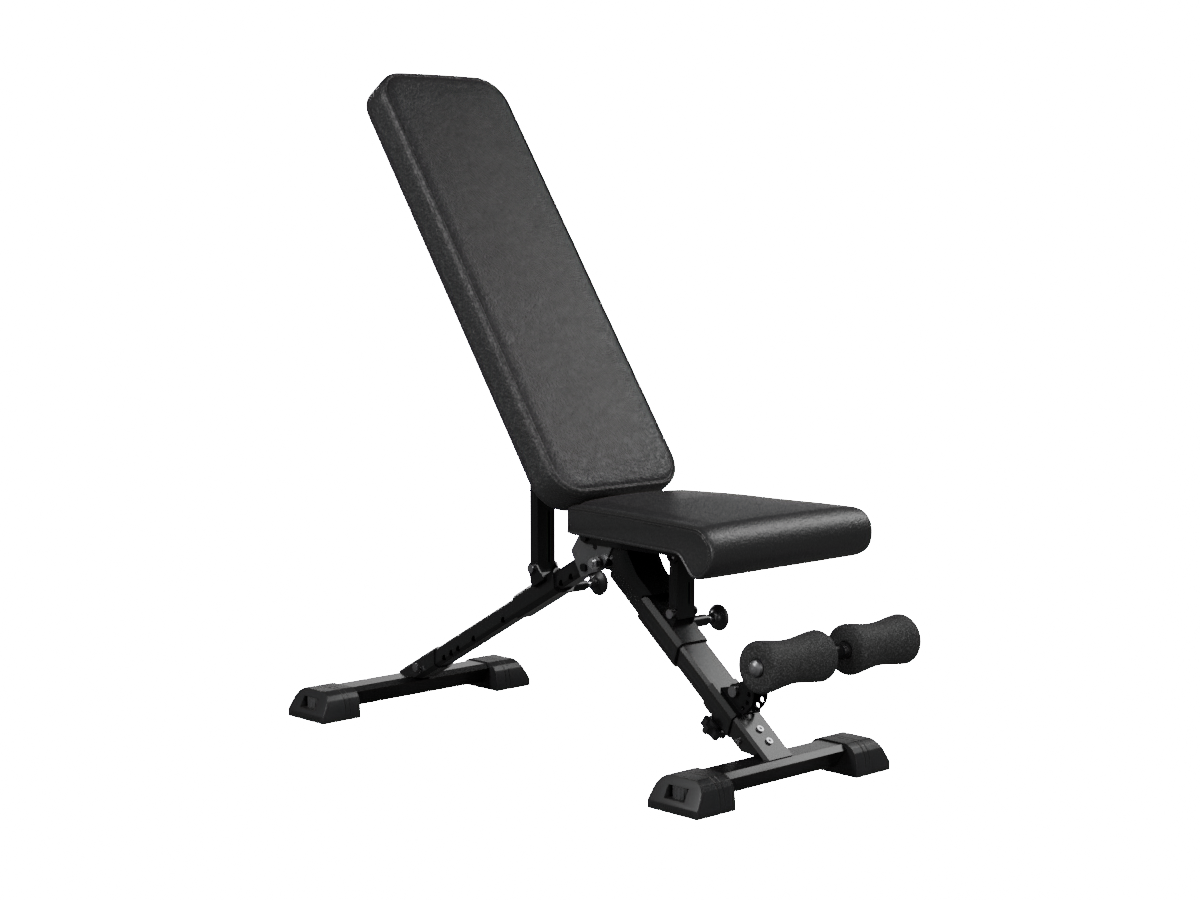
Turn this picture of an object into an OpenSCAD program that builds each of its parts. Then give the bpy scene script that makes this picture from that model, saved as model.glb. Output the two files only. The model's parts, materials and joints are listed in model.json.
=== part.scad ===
// Adjustable weight bench: two floor tubes on a folding leg frame, a seat and a
// backrest that are propped by struts on locking sleeves, and a foam leg roller.
// The bench faces -Y, +X is the sitter's left, and the floor is z = 0.

/* [Stance] */
// Distance between the centre lines of the front and rear floor tubes
foot_spacing = 888; // [820:1:1000]
// Distance of the front floor tube in front of the origin
front_foot_reach = 391; // [340:1:430]
// Length of the front foot over its end caps
front_foot_length = 445; // [400:1:560]
// Length of the rear foot over its end caps
rear_foot_length = 485; // [420:1:600]
// Height of the main pivot bolt above the floor
hub_height = 318.5; // [300:0.5:350]
// Distance of the main pivot bolt in front of the origin
hub_reach = 40; // [20:1:60]

/* [Legs and sleeves] */
// Width of the front post over its widest edges
front_post_width = 60; // [54:1:66]
// Depth of the front post from its flat face to its ridge
front_post_depth = 53; // [46:1:58]
// Width of the rear post over its widest edges
rear_post_width = 40; // [36:1:46]
// Depth of the rear post from its flat face to its ridge
rear_post_depth = 36; // [32:1:42]
// Wall of the posts and floor tubes
tube_wall = 2; // [1.5:0.1:3]
// Wall of the sliding sleeves and of the rear socket
sleeve_wall = 2.5; // [2:0.1:4]
// Length of the sleeve that carries the seat prop
seat_sleeve_length = 107; // [90:1:120]
// Length of the sleeve that carries the backrest strut
rear_sleeve_length = 120; // [100:1:130]
// Running clearance between a post and the liners in its sleeve
slide_clearance = 0.3; // [0.2:0.05:0.6]
// Thickness of the plastic liners in the sleeves
liner_wall = 1.5; // [1:0.1:2]

/* [Floor tubes and end caps] */
// Width of the floor tubes over their widest edges
foot_tube_width = 62; // [52:1:72]
// Depth of the floor tubes from the flat top to the ridge below
foot_tube_depth = 40; // [34:1:46]
// Height of the flat top of the floor tubes above the floor
foot_tube_top = 50; // [46:1:54]
// Length of each end cap
cap_length = 83; // [76:1:95]
// Width of each end cap at the floor
cap_base_width = 104; // [96:1:114]
// Width of each end cap at its top
cap_top_width = 57; // [50:1:70]
// Diameter of the levelling thumbwheels
level_wheel_d = 40; // [32:1:41]

/* [Seat] */
// Length of the seat cushion
seat_length = 359; // [320:1:400]
// Width of the seat cushion at the back
seat_rear_width = 290; // [250:1:310]
// Width of the seat cushion at the front
seat_front_width = 376; // [320:1:400]
// Height of the top of the seat cushion above the floor
seat_top_height = 426; // [418:1:450]
// Thickness of the seat cushion behind its nose
seat_thickness = 48; // [40:1:60]
// Radius of the rounded nose of the seat
seat_nose_r = 40; // [32:0.5:44]
// Distance of the back edge of the seat in front of the origin
seat_rear_reach = 77; // [74:1:110]

/* [Backrest] */
// Length of the back cushion
back_length = 846; // [700:1:900]
// Width of the back cushion
back_width = 286; // [250:1:310]
// Thickness of the back cushion with its board
back_thickness = 63; // [50:1:75]
// Radius of the corners of the back cushion
back_corner_r = 56; // [30:1:70]
// Angle of the backrest above horizontal, as it stands
back_angle = 55.6; // [50:0.1:60]

/* [Leg roller] */
// Diameter of the foam rollers at their ends
roller_d = 79; // [70:1:90]
// Diameter of the foam rollers at their waist
roller_waist_d = 68; // [60:1:78]
// Length of each foam roller
roller_length = 145; // [120:1:170]
// Gap between the two foam rollers
roller_gap = 56; // [46:1:80]
// Diameter of the steel axle of the rollers
axle_d = 14; // [12:0.5:18]
// Diameter of the plastic cores in the foam rollers
core_d = 25; // [22:0.5:30]
// Distance from the arm's bolt to the roller axle
arm_length = 201; // [180:1:230]
// Angle of the roller arm above horizontal, as it stands
arm_angle = 24.7; // [10:0.1:26]

/* [Bolts and pins] */
// Diameter of the main pivot bolt
main_bolt_d = 12; // [10:0.5:14]
// Diameter of the other pivot bolts
bolt_d = 10; // [8:0.5:11]
// Diametral clearance of a bolt in its hole
bolt_clearance = 0.1; // [0.05:0.01:0.2]
// Diameter of the sprung locking pins
pin_d = 9; // [7:0.5:10]
// Diameter of the knobs on the locking pins
pin_knob_d = 46; // [34:1:48]

/* [Hidden] */
$fn = 48;

contact = 0.3;             // gap between neighbours that move against each other
weld = 0.01;               // depth that welded pieces run into each other
black = [0.06, 0.06, 0.065];
grey = [0.36, 0.36, 0.37];
steel = [0.75, 0.75, 0.76];

// Places in the side view, as [y, z]
front_foot_y = -front_foot_reach;
rear_foot_y = front_foot_y + foot_spacing;
foot_axis_z = foot_tube_top - foot_tube_depth / 2;
hub = [-hub_reach, hub_height];
back_pivot = hub + [10.5, 24.7];
seat_pivot = hub + [30, 39.5];
stop_bolt = hub + [35.5, -12];

// Front leg: its centre line runs from the front floor tube through the main bolt
front_run = hub - [front_foot_y, foot_axis_z];
front_angle = atan2(front_run[1], front_run[0]);
front_length = norm(front_run);
front_post_top = front_length - 15;

// Rear leg: its centre line passes above the main bolt by hub_drop
rear_root_z = foot_axis_z + 17;
hub_drop = rear_post_depth / 2 + 3.7;
rear_run = [rear_foot_y - hub[0], hub[1] - rear_root_z];
rear_angle = atan2(rear_run[1], rear_run[0]) + asin(hub_drop / norm(rear_run));
rear_length = sqrt(pow(norm(rear_run), 2) - pow(hub_drop, 2));
rear_post_top = rear_length - 52;

// Shapes of the tubes: half the flat face, and the depth of the chamfer beside it
front_flat = front_post_width / 2 - 3.5;
front_chamfer = 6;
front_ridge_r = 14;
rear_flat = rear_post_width / 2 - 6;
rear_chamfer = 6;
rear_ridge_r = 11.5;
foot_flat = foot_tube_width / 2 - 9;
foot_chamfer = 8;
foot_ridge_r = 14;
liner_gap = slide_clearance + liner_wall;

// Stations along the front leg, measured up from the floor tube's centre line
clamp_station = 125;
collar_length = 68;
seat_sleeve_station = 296;
seat_pin_station = 303;
seat_prop_station = 293;
seat_prop_lift = front_post_depth / 2 + 19;
roller_bolt_station = 123;
roller_bolt_lift = front_post_depth / 2 + 21.5;
front_screw_stations = [33, 58];

// Stations along the rear leg, measured up from the rear foot
rear_socket_end = 95;
rear_socket_bolt_station = 47;
rear_sleeve_station = 404;
rear_pin_station = 446;
rear_pin_depth = -10;
strut_station = 429;
strut_lift = rear_post_depth / 2 + 19.3;
rear_hole_stations = [123, 146, 168, 217, 308, 345, 382, rear_pin_station, 478, 506];
front_hole_stations = [seat_pin_station - 45, seat_pin_station - 30, seat_pin_station - 15,
  seat_pin_station];

// Plates around the hub, from the post outwards
gusset_x = front_post_width / 2;
gusset_wall = 3.5;
hub_plate_x = gusset_x + gusset_wall;
hub_plate_wall = 3;
rail_x = hub_plate_x + hub_plate_wall + contact;
yoke_wall = 2.6;
yoke_x = hub_plate_x - contact - yoke_wall;

// Props and struts
prop_width = 40;
prop_depth = 19;
strut_width = 40;
strut_depth = 20;
prop_wall = 2;

// Point on the front leg, as [y, z]: station along it and depth behind its centre line
function on_front(station, depth) = [
  front_foot_y + station * cos(front_angle) + depth * sin(front_angle),
  foot_axis_z + station * sin(front_angle) - depth * cos(front_angle)];
// Point on the rear leg, as [y, z]
function on_rear(station, depth) = [
  rear_foot_y - station * cos(rear_angle) + depth * sin(rear_angle),
  rear_root_z + station * sin(rear_angle) + depth * cos(rear_angle)];

prop_foot = on_front(seat_prop_station, -seat_prop_lift);
prop_length = 92.5;
prop_head = prop_foot + [0, prop_length];
strut_foot = on_rear(strut_station, strut_lift);
strut_length = 193;
strut_head = strut_foot + [0, strut_length];
roller_bolt = on_front(roller_bolt_station, -roller_bolt_lift);
axle = roller_bolt + arm_length * [-cos(arm_angle), sin(arm_angle)];
seat_bottom = seat_top_height - seat_thickness;
seat_front_y = -seat_rear_reach - seat_length;

// Places in the backrest's own frame: behind the pivot and up along the pad
back_face = -88;
back_rear = back_face + back_thickness;
back_board_wall = 12;
rail_depth = 30;
rail_width = 20;
head_offset = strut_head - back_pivot;
head_behind = head_offset[0] * sin(back_angle) - head_offset[1] * cos(back_angle);
head_along = head_offset[0] * cos(back_angle) + head_offset[1] * sin(back_angle);

// Points on an arc
function arc(centre, r, from, to, steps = 10) = [for (i = [0:steps])
  let (a = from + (to - from) * i / steps) centre + r * [cos(a), sin(a)]];

// Tube section: flat face at -y, a chamfer to the widest edges, then sides that
// slope in to a round ridge at +y; grow moves the whole outline outwards
function tube_outline(flat, wide, chamfer, depth, ridge, grow) =
  let (hw = wide + grow, r = ridge + grow, face = -depth / 2 - grow,
    edge = -depth / 2 + chamfer - 0.4 * grow, c = [0, depth / 2 - ridge],
    gap = [hw, edge] - c, start = atan2(gap[1], gap[0]) + acos(r / norm(gap)))
  concat([[-flat - 0.4 * grow, face], [flat + 0.4 * grow, face], [hw, edge]],
    arc(c, r, start, 180 - start), [[-hw, edge]]);
function front_outline(grow) = tube_outline(front_flat, front_post_width / 2,
  front_chamfer, front_post_depth, front_ridge_r, grow);
function rear_outline(grow) = tube_outline(rear_flat, rear_post_width / 2,
  rear_chamfer, rear_post_depth, rear_ridge_r, grow);
function foot_outline(grow) = tube_outline(foot_flat, foot_tube_width / 2,
  foot_chamfer, foot_tube_depth, foot_ridge_r, grow);

// Frames that pieces are drawn in
module front_leg() {
  translate([0, front_foot_y, foot_axis_z]) rotate([front_angle - 90, 0, 0]) children();
}
module rear_leg() {
  translate([0, rear_foot_y, rear_root_z]) rotate([90 - rear_angle, 0, 0]) children();
}
module backrest() {
  translate([0, back_pivot[0], back_pivot[1]]) rotate([back_angle - 90, 0, 0]) children();
}
// Puts children, drawn in the side view's y and z as x and y, at x = from, thick to +X
module plate(from, thick) {
  translate([from, 0, 0]) rotate([90, 0, 90]) linear_extrude(thick) children();
}
// Cylinder along X, centred at a side-view point
module cross_rod(at, d, from, to) {
  translate([from, at[0], at[1]]) rotate([0, 90, 0]) cylinder(d = d, h = to - from);
}
module both_sides() {
  children();
  mirror([1, 0, 0]) children();
}
module hex_x(at, across, from, to) {
  translate([from, at[0], at[1]]) rotate([0, 90, 0])
    cylinder(d = across / cos(30), h = to - from, $fn = 6);
}
module ring_between(outer, inner, from, to) {
  translate([0, 0, from]) linear_extrude(to - from) difference() {
    polygon(outer);
    polygon(inner);
  }
}

// ---- Feet ----
module foot_tube(length) {
  rotate([90, 0, 90]) translate([0, 0, -length / 2]) linear_extrude(length) mirror([0, 1])
    difference() {
      polygon(foot_outline(0));
      polygon(foot_outline(-tube_wall));
    }
}
// End cap in its own frame: outer end at x = 0, running to +x, floor at z = 0
cap_tube_inset = 55;
cap_slope = 21;
cap_wall = 2;
cap_top = foot_tube_top + cap_wall;
cap_skirt = 14;
window_low = 20;
window_high = 39;
window_width = level_wheel_d + 2;
wheel_mid_z = (window_low + window_high) / 2;
wheel_in = 30;
module cap_side_view() {
  polygon([[0, 0], [cap_length, 0], [cap_length, cap_top], [cap_slope, cap_top],
    [2, cap_skirt], [0, cap_skirt]]);
}
module cap_end_view() {
  polygon([[-cap_base_width / 2, 0], [cap_base_width / 2, 0],
    [cap_base_width / 2, cap_skirt], [cap_base_width / 2 - 6, cap_top - 14],
    [cap_top_width / 2 + 5, cap_top - 2], [cap_top_width / 2, cap_top],
    [-cap_top_width / 2, cap_top], [-cap_top_width / 2 - 5, cap_top - 2],
    [-cap_base_width / 2 + 6, cap_top - 14], [-cap_base_width / 2, cap_skirt]]);
}
module end_cap() {
  difference() {
    intersection() {
      rotate([90, 0, 0]) translate([0, 0, -cap_base_width])
        linear_extrude(2 * cap_base_width) cap_side_view();
      rotate([90, 0, 90]) linear_extrude(cap_length) cap_end_view();
    }
    // socket for the floor tube
    translate([cap_tube_inset, 0, foot_axis_z]) rotate([90, 0, 90]) linear_extrude(cap_length)
      mirror([0, 1]) polygon(foot_outline(0));
    // window and chamber for the thumbwheel
    translate([-1, -window_width / 2, window_low])
      cube([wheel_in + level_wheel_d / 2 + 2, window_width, window_high - window_low]);
    // stem of the thumbwheel
    translate([wheel_in, 0, 4]) cylinder(d = 12 + bolt_clearance, h = cap_top - 10);
  }
}
module level_wheel() {
  translate([wheel_in, 0, 0]) difference() {
    union() {
      translate([0, 0, window_low + contact])
        cylinder(d = level_wheel_d, h = window_high - window_low - 2 * contact);
      translate([0, 0, 6]) cylinder(d = 12, h = cap_top - 14);
    }
    for (i = [0:17]) rotate([0, 0, 20 * i]) translate([level_wheel_d / 2 + 0.6, 0, window_low])
      cylinder(d = 3.6, h = window_high - window_low);
  }
}
module at_foot_end(y, length, side) {
  translate([side * length / 2, y, 0]) mirror([side > 0 ? 1 : 0, 0, 0]) children();
}
module front_foot_tube() {
  color(black) union() {
    translate([0, front_foot_y, foot_axis_z]) foot_tube(front_foot_length - 2 * cap_tube_inset);
    // stub that the post slides over
    intersection() {
      front_leg() difference() {
        ring_between(front_outline(-tube_wall - 0.2), front_outline(-tube_wall - 2.7), 0, 78);
        front_screw_holes();
      }
      translate([-50, front_foot_y - 150, foot_tube_top - 1]) cube([100, 300, 200]);
    }
  }
}
module front_cap_right() color(black) at_foot_end(front_foot_y, front_foot_length, -1) end_cap();
module front_cap_left() color(black) at_foot_end(front_foot_y, front_foot_length, 1) end_cap();
module front_wheel_right() color(grey) at_foot_end(front_foot_y, front_foot_length, -1)
  level_wheel();
module front_wheel_left() color(grey) at_foot_end(front_foot_y, front_foot_length, 1)
  level_wheel();

// ---- Front post and hub ----
// Row of lateral holes for a locking pin
module pin_holes(stations, half_width, depth = 0) {
  for (s = stations) translate([-half_width, depth, s]) rotate([0, 90, 0])
    cylinder(d = pin_d + 1.5, h = 2 * half_width);
}
// Puts children on the sloping sides of the front post, facing outwards
module on_front_sides() {
  centre = front_post_depth / 2 - front_ridge_r;
  gap = [front_post_width / 2, -front_post_depth / 2 + front_chamfer - centre];
  tilt = atan2(gap[1], gap[0]) + acos(front_ridge_r / norm(gap));
  both_sides() translate([0, centre, side_screw_station]) rotate([0, 0, tilt])
    translate([front_ridge_r, -12.5, 0]) rotate([0, 90, 0]) children();
}
side_screw_station = 67;
module front_screw_holes() {
  for (s = front_screw_stations) translate([0, 0, s]) rotate([90, 0, 0])
    cylinder(d = 6.1, h = front_post_depth);
  on_front_sides() translate([0, 0, -8]) cylinder(d = 6.1, h = 12);
}
module front_post() {
  color(black) difference() {
    front_leg() difference() {
      ring_between(front_outline(0), front_outline(-tube_wall), 0, front_post_top);
      pin_holes(front_hole_stations, front_post_width);
      front_screw_holes();
    }
    translate([-100, front_foot_y - 200, foot_tube_top - 200]) cube([200, 400, 200]);
  }
}
// Screw with a hexagon socket: head outwards to +z, thread down to -length
module screw(length, d = 6) {
  difference() {
    union() {
      translate([0, 0, -length]) cylinder(d = d, h = length);
      cylinder(d = 1.9 * d, h = 0.55 * d);
    }
    translate([0, 0, 0.2 * d]) cylinder(d = d, h = d, $fn = 6);
  }
}
module front_post_screws() {
  color(steel) front_leg() {
    for (s = front_screw_stations) translate([0, -front_post_depth / 2, s])
      rotate([90, 0, 0]) screw(9);
    on_front_sides() screw(7);
  }
}
function front_points(points) = [for (p = points) on_front(p[0], p[1])];
gusset_low = seat_sleeve_station + seat_sleeve_length / 2 + 1;
gusset_face = -front_post_depth / 2 - 18.5;
module front_post_gusset() {
  edge = -front_post_depth / 2 + front_chamfer + 2.4;
  side = front_points([[gusset_low, edge], [gusset_low, gusset_face + 16],
    [gusset_low - 14, gusset_face], [front_length - 73, gusset_face],
    [front_length - 33, gusset_face - 12.5], [front_length - 5, gusset_face + 5],
    [front_length - 8, edge - 2]]);
  web = front_points([[gusset_low - 14, gusset_face], [front_length - 73, gusset_face],
    [front_length - 33, gusset_face - 12.5], [front_length - 31.8, gusset_face - 9.5],
    [front_length - 73, gusset_face + 3], [gusset_low - 11, gusset_face + 3]]);
  color(black) {
    both_sides() plate(gusset_x, gusset_wall) polygon(side);
    plate(-gusset_x, 2 * gusset_x) polygon(web);
  }
}
module hole_at(at, d) {
  translate(at) circle(d = d + bolt_clearance);
}
module hub_plate_shape() {
  difference() {
    polygon([hub + [-29, 27.5], hub + [-13.6, 0], hub + [-8, -12], hub + [19, -19.5],
      hub + [45, -30], hub + [50.5, -18], hub + [63.5, 1], hub + [69, 13.5],
      hub + [50, 40], hub + [42, 50], hub + [8, 48]]);
    hole_at(hub, main_bolt_d);
    for (at = [back_pivot, seat_pivot, stop_bolt]) hole_at(at, bolt_d);
  }
}
module hub_plate_right() color(grey) plate(-hub_plate_x - hub_plate_wall, hub_plate_wall)
  hub_plate_shape();
module hub_plate_left() color(grey) plate(hub_plate_x, hub_plate_wall) hub_plate_shape();
hub_outer = hub_plate_x + hub_plate_wall;
main_spacer = 6;
module main_pivot_bolt() {
  outer = hub_outer + main_spacer;
  color(steel) {
    cross_rod(hub, main_bolt_d, -outer - 15, outer + 2);
    hex_x(hub, 18, outer, outer + 7.5);
    difference() {
      hex_x(hub, 18, -outer - 10, -outer);
      cross_rod(hub, main_bolt_d, -outer - 12, -outer + 1);
    }
  }
}
module main_pivot_spacers() {
  color(black) both_sides() difference() {
    cross_rod(hub, 18, hub_outer, hub_outer + main_spacer);
    cross_rod(hub, main_bolt_d + bolt_clearance, hub_outer - 1, hub_outer + main_spacer + 1);
  }
}
module backrest_pivot_rod() {
  color(steel) cross_rod(back_pivot, bolt_d, -hub_outer + 1, hub_outer - 1);
}
module hub_stub_bolts() {
  color(black) both_sides() {
    cross_rod(stop_bolt, bolt_d, yoke_x, hub_outer + 2);
    cross_rod(stop_bolt, 13, hub_outer, hub_outer + 5);
    cross_rod(seat_pivot, bolt_d, yoke_x, rail_x + seat_rail_wall + 2);
    cross_rod(seat_pivot, 14, rail_x + seat_rail_wall + contact, rail_x + seat_rail_wall + 6);
  }
}

// ---- Sleeves, locking pins and props ----
module in_front_sleeve(from, to, inner, outer) {
  ring_between(front_outline(outer), front_outline(inner), from, to);
}
module in_rear_sleeve(from, to, inner, outer) {
  ring_between(rear_outline(outer), rear_outline(inner), from, to);
}
liner_length = 9;
sleeve_outer = liner_gap + sleeve_wall;
// Two plates of a clevis, drawn in depth and station, rounded round their bolt
module clevis(from, thick, base, bolt, half_base, r) {
  both_sides() translate([from, 0, 0]) rotate([90, 0, 90]) linear_extrude(thick)
    difference() {
      union() {
        translate(bolt) circle(r = r);
        polygon([[base, bolt[1] - half_base], [base, bolt[1] + half_base],
          [bolt[0], bolt[1] + r], [bolt[0], bolt[1] - r]]);
      }
      translate(bolt) circle(d = bolt_d + bolt_clearance);
    }
}
seat_sleeve_low = seat_sleeve_station - seat_sleeve_length / 2;
seat_sleeve_high = seat_sleeve_station + seat_sleeve_length / 2;
rear_sleeve_low = rear_sleeve_station - rear_sleeve_length / 2;
rear_sleeve_high = rear_sleeve_station + rear_sleeve_length / 2;
clevis_wall = 3;
seat_clevis_x = prop_width / 2 + contact;
strut_clevis_x = strut_width / 2 + contact;
// Bore of the pin housings, round the collar and the spring of the pin
housing_bore = pin_d + 5;
module seat_sleeve() {
  color(black) front_leg() {
    difference() {
      in_front_sleeve(seat_sleeve_low, seat_sleeve_high, liner_gap, sleeve_outer);
      translate([0, 0, seat_pin_station]) rotate([0, 90, 0])
        cylinder(d = housing_bore, h = front_post_width);
    }
    clevis(seat_clevis_x, clevis_wall, -front_post_depth / 2 - sleeve_outer,
      [-seat_prop_lift, seat_prop_station], 15, 11);
  }
}
module seat_sleeve_liners() {
  color(black) front_leg() for (from = [seat_sleeve_low, seat_sleeve_high - liner_length])
    in_front_sleeve(from, from + liner_length, slide_clearance, liner_gap);
}
housing_d = 20;
front_housing_end = 97;
rear_housing_end = 66;
// Housing round a locking pin, drawn along +z from the centre line of its leg
module pin_housing(start, end) {
  difference() {
    union() {
      translate([0, 0, start]) cylinder(d = housing_d, h = end - 6 - start);
      translate([0, 0, end - 8]) cylinder(d = housing_d - 4, h = 8);
    }
    translate([0, 0, start - 1]) cylinder(d = housing_bore, h = end - 8 - start);
    cylinder(d = pin_d + bolt_clearance, h = end + 1);
  }
}
// Helical spring drawn as a stack of rings round the shaft of a locking pin
module pin_spring(end) {
  for (i = [0:4]) translate([0, 0, end - 10.2 - 2.9 * i]) rotate_extrude()
    translate([pin_d / 2 + 1.2, 0]) circle(d = 1.8);
}
// Pin with a collar that its spring bears on
module pin_shaft(tip, length) {
  translate([0, 0, tip]) cylinder(d = pin_d, h = length);
  translate([0, 0, tip + 2]) cylinder(d = pin_d + 3, h = 1.5);
}
module pin_knob(start) {
  difference() {
    union() {
      translate([0, 0, start]) cylinder(d = 20, h = 12);
      translate([0, 0, start + 10]) rotate_extrude() polygon([[0, 0], [14, 0],
        [pin_knob_d / 2 - 1, 6], [pin_knob_d / 2, 8], [pin_knob_d / 2 - 1, 12],
        [pin_knob_d / 2 - 5, 15], [0, 16]]);
    }
    translate([0, 0, start - 1]) cylinder(d = pin_d, h = 17);
  }
}
module at_front_pin() front_leg() translate([0, 0, seat_pin_station])
  rotate([0, 90, 0]) children();
module at_rear_pin() rear_leg() translate([0, rear_pin_depth, rear_pin_station])
  rotate([0, 90, 0]) children();
front_housing = front_post_width / 2 - 9 + sleeve_outer;
rear_housing = rear_post_width / 2 - 6 + sleeve_outer;
front_knob_start = 106;
rear_knob_start = 78;
module seat_pin_housing() color(black) difference() {
  at_front_pin() pin_housing(front_housing, front_housing_end);
  front_leg() translate([0, 0, seat_sleeve_low]) linear_extrude(seat_sleeve_length)
    polygon(front_outline(sleeve_outer));
}
module seat_pin_spring() color(steel) at_front_pin() pin_spring(front_housing_end);
module seat_prop_bolt() color(steel) front_leg() {
  at = [-seat_prop_lift, seat_prop_station];
  grip = seat_clevis_x + clevis_wall;
  cross_rod(at, bolt_d, -grip - 4, grip + 2);
  cross_rod(at, 16, grip, grip + 6);
  cross_rod(at, 15, -grip - 6, -grip);
}
module seat_pin() color(steel) at_front_pin() pin_shaft(front_tip, front_knob_start + 15 - front_tip);
module seat_pin_knob() color(black) at_front_pin() pin_knob(front_knob_start);
// The tips rest just outside the post's side wall, so that the sleeves can slide
front_tip = front_post_width / 2 - 6;
rear_tip = rear_post_width / 2 + 0.4;
module upright(at, width, depth, length, r) {
  hollow = [width - 2 * prop_wall, depth - 2 * prop_wall];
  translate([0, at[0], at[1]]) difference() {
    translate([-width / 2, -depth / 2, -r]) cube([width, depth, length + 2 * r]);
    translate([-hollow[0] / 2, -hollow[1] / 2, -r - 1])
      cube([hollow[0], hollow[1], length + 2 * r + 2]);
    for (z = [0, length]) translate([-width, 0, z]) rotate([0, 90, 0])
      cylinder(d = bolt_d + bolt_clearance, h = 2 * width);
  }
}
module seat_prop() color(black) upright(prop_foot, prop_width, prop_depth, prop_length, 9);
module seat_prop_top_pin() color(steel) cross_rod(prop_head, bolt_d, -prop_width / 2 - 1,
  prop_width / 2 + 1);
module backrest_strut() color(black) upright(strut_foot, strut_width, strut_depth,
  strut_length, 10);
module strut_top_pin() color(steel) cross_rod(strut_head, bolt_d, -strut_width / 2 - 2,
  strut_width / 2 + 2);

// ---- Seat ----
seat_rail_wall = 3;
seat_rail_low = seat_pivot[1] - 11;
rail_front_y = prop_head[0] - 85;
module seat_rail() {
  plate(rail_x, seat_rail_wall) difference() {
    union() {
      translate(seat_pivot) circle(r = 11);
      polygon([[rail_front_y, seat_bottom - 14], [rail_front_y + 40, seat_rail_low],
        [seat_pivot[0], seat_rail_low], [seat_pivot[0] + 9, seat_rail_low + 6],
        [seat_pivot[0] + 9, seat_pivot[1] + 7], [seat_pivot[0] - 14, seat_bottom],
        [rail_front_y, seat_bottom]]);
    }
    hole_at(seat_pivot, bolt_d);
  }
  translate([rail_x, rail_front_y, seat_bottom - 3])
    cube([24, -seat_rear_reach + 12 - rail_front_y, 3]);
}
module seat_rail_left() color(black) seat_rail();
module seat_rail_right() color(black) mirror([1, 0, 0]) seat_rail();
module seat_cross_plates() {
  ear_top = seat_bottom - 3;
  color(black) {
    for (y = [prop_head[0] - 12, seat_pivot[0] - 130])
      translate([-rail_x, y, ear_top]) cube([2 * rail_x, 34, 3]);
    difference() {
      both_sides() plate(prop_width / 2 + 1.6, clevis_wall) union() {
        translate(prop_head) circle(r = 11);
        polygon([prop_head + [-11, 0], prop_head + [11, 0],
          [prop_head[0] + 13, ear_top], [prop_head[0] - 12, ear_top]]);
      }
      cross_rod(prop_head, bolt_d + 2.4, -prop_width, prop_width);
    }
  }
}
board_wall = 12;
nose_y = seat_front_y + seat_nose_r;
nose_z = seat_top_height - seat_nose_r;
// Half-width of the seat at a y, wider towards the front
function seat_half(y) = seat_rear_width / 2 + (seat_front_width - seat_rear_width) / 2
  * (-seat_rear_reach - y) / seat_length;
module seat_board() {
  back = -seat_rear_reach - 8;
  front = nose_y + 30;
  color(black) translate([0, 0, seat_bottom]) linear_extrude(board_wall)
    polygon([[-seat_half(back) + 10, back], [-seat_half(front) + 10, front],
      [seat_half(front) - 10, front], [seat_half(back) - 10, back]]);
}
module seat_cushion() {
  low = seat_bottom + board_wall;
  color(black) intersection() {
    translate([-seat_front_width, 0, 0]) rotate([90, 0, 90])
      linear_extrude(2 * seat_front_width) polygon(concat(
        [[-seat_rear_reach, seat_bottom + 2], [-seat_rear_reach, seat_top_height - 10],
        [-seat_rear_reach - 3, seat_top_height - 3], [-seat_rear_reach - 10, seat_top_height]],
        arc([nose_y, nose_z], seat_nose_r, 90, 270, 18),
        [[nose_y + 26, nose_z - seat_nose_r + 4], [nose_y + 29.7, seat_bottom + 2],
        [nose_y + 29.7, low], [-seat_rear_reach - 7.7, low],
        [-seat_rear_reach - 7.7, seat_bottom + 2]]));
    translate([0, 0, 300]) linear_extrude(200)
      polygon([[-seat_half(-seat_rear_reach), -seat_rear_reach + 1],
        [-seat_half(seat_front_y + 18), seat_front_y + 18],
        [-seat_half(seat_front_y) + 18, seat_front_y - 1],
        [seat_half(seat_front_y) - 18, seat_front_y - 1],
        [seat_half(seat_front_y + 18), seat_front_y + 18],
        [seat_half(-seat_rear_reach), -seat_rear_reach + 1]]);
  }
}

// ---- Leg roller ----
collar_low = clamp_station - collar_length / 2;
collar_high = clamp_station + collar_length / 2;
arm_half = 15;
module roller_collar() {
  color(black) front_leg() {
    difference() {
      in_front_sleeve(collar_low, collar_high, slide_clearance, slide_clearance + 3);
      translate([0, 0, clamp_station]) rotate([-90, 0, 0])
        cylinder(d = 10 + bolt_clearance, h = front_post_depth);
    }
    both_sides() plate(arm_half + contact, 3) fan_plate();
  }
}
fan_r = 30;
fan_base = -front_post_depth / 2 - slide_clearance - 3;
// Direction of the arm in the front leg's own frame, as an angle in depth and station
arm_turn = 270 - arm_angle - front_angle;
module fan_plate() {
  at = [-roller_bolt_lift, roller_bolt_station];
  difference() {
    union() {
      translate(at) circle(r = 12);
      polygon([[fan_base, collar_low + 2], [fan_base, collar_high - 12], at + [3, 12],
        at + [-12, 2], at + [2, -fan_r - 8]]);
      polygon(concat([at], arc(at, fan_r + 8, arm_turn - 14, arm_turn + 92, 12)));
    }
    translate(at) circle(d = bolt_d + bolt_clearance);
    for (i = [1:3]) translate(at + fan_r * [cos(arm_turn + 26.5 * i),
      sin(arm_turn + 26.5 * i)]) circle(d = 8);
  }
}
module roller_arm_bolt() color(steel) {
  cross_rod(roller_bolt, bolt_d, -arm_half - 8, arm_half + 6);
  cross_rod(roller_bolt, 17, -arm_half - 9.3, -arm_half - 3.3);
  cross_rod(roller_bolt, 17, arm_half + 3.3, arm_half + 9.3);
}
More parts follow.
